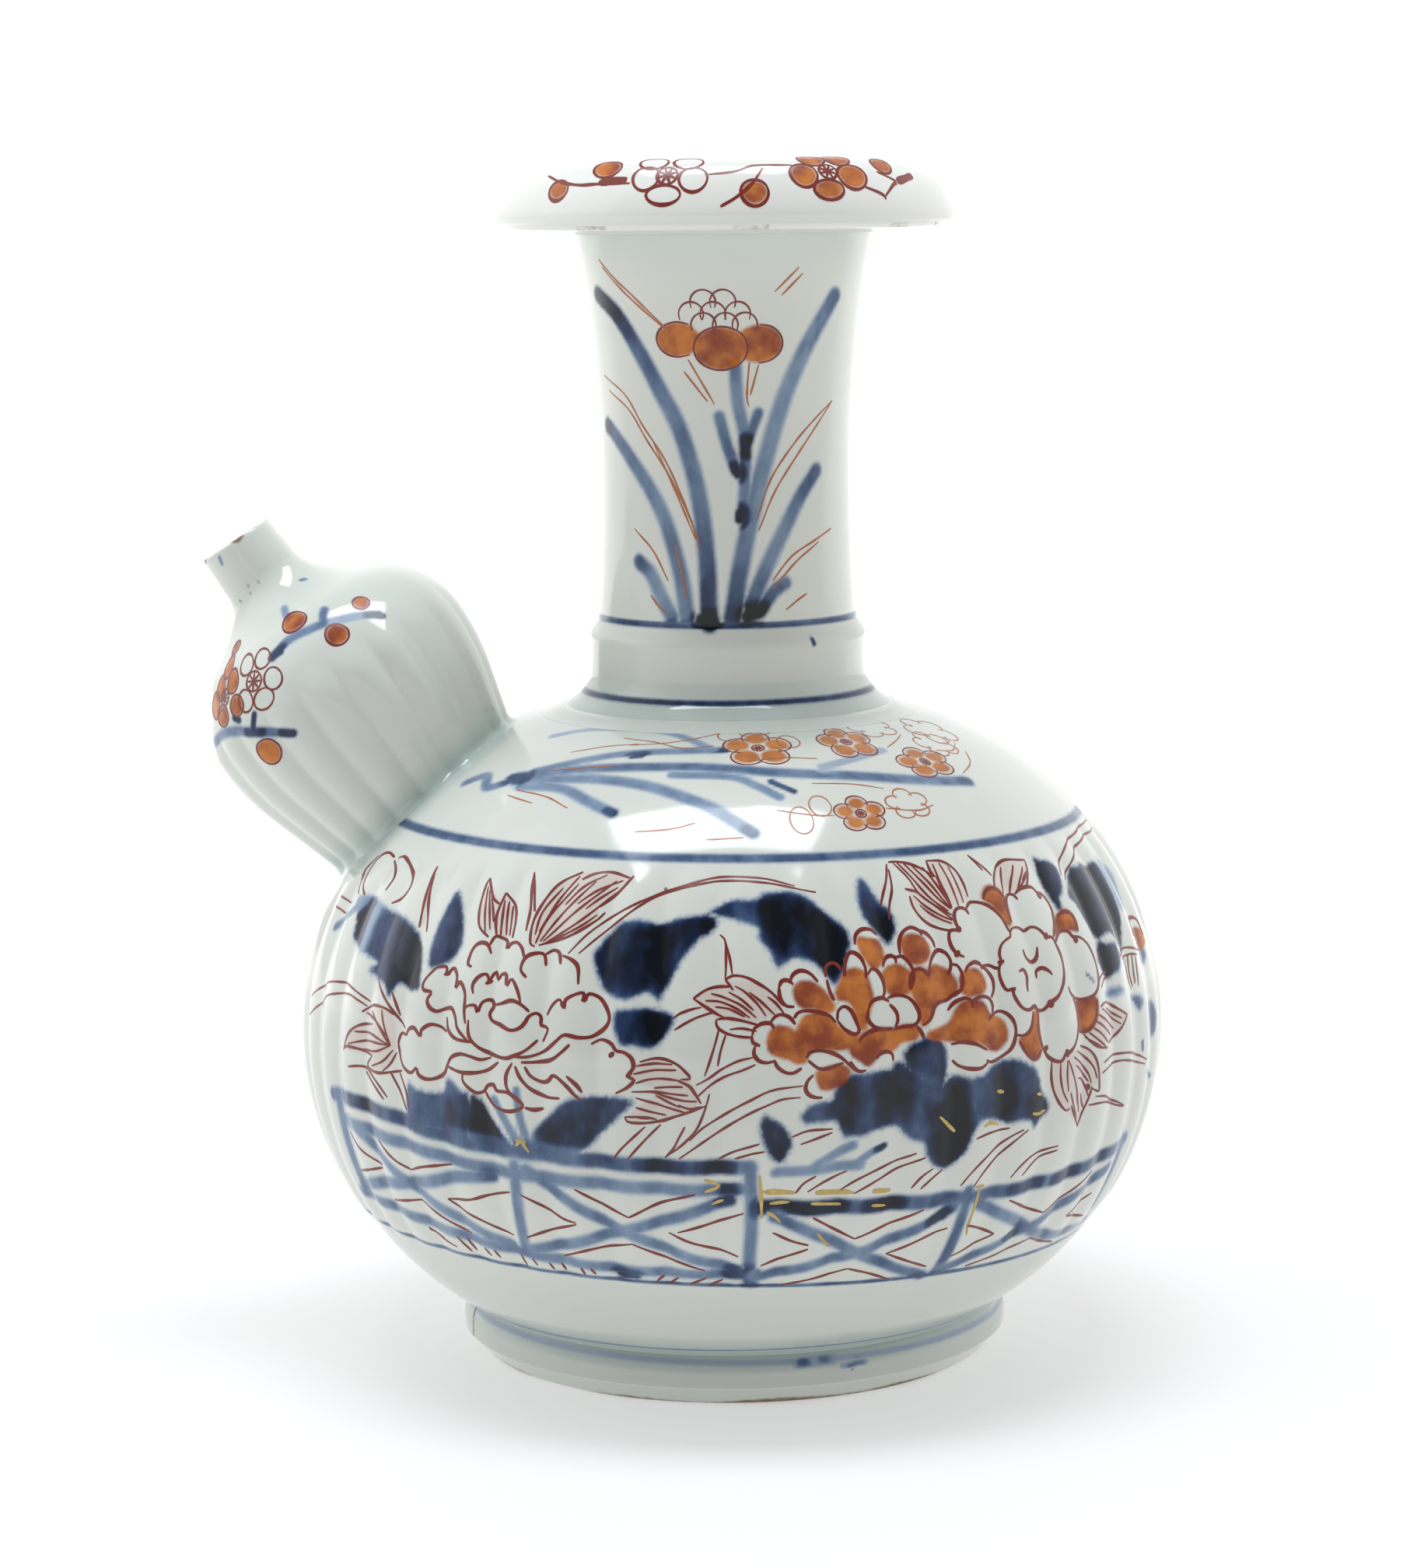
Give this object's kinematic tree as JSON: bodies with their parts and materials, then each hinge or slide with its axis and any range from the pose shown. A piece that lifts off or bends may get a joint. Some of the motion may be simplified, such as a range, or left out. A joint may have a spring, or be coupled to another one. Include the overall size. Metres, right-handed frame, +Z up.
{
  "type": "kendi",
  "caption": "Porcelain kendi with a ribbed globular body, waisted neck, drooping mouth flange and ribbed breast-shaped spout, for pouring and drinking.",
  "frame": {"origin": "centre of the foot ring's rest face", "axes": "+Z up along the pot's axis, spout towards -X, +Y to the back"},
  "size_m": [0.1648, 0.1492, 0.2049],
  "materials": {
    "porcelain": "clear bluish-green glaze over white porcelain with underglaze cobalt, glossy",
    "luting_slip": "fired porcelain slip"
  },
  "bodies": {
    "root": {"foot_ring": "porcelain", "foot_lute": "luting_slip", "lower_body": "porcelain", "belly_lute": "luting_slip", "upper_body": "porcelain", "neck_lute": "luting_slip", "neck": "porcelain", "rim_lute": "luting_slip", "mouth_flange": "porcelain", "spout_lute": "luting_slip", "spout_bulb": "porcelain", "nozzle_lute": "luting_slip", "spout_nozzle": "porcelain"}
  },
  "joints": []
}
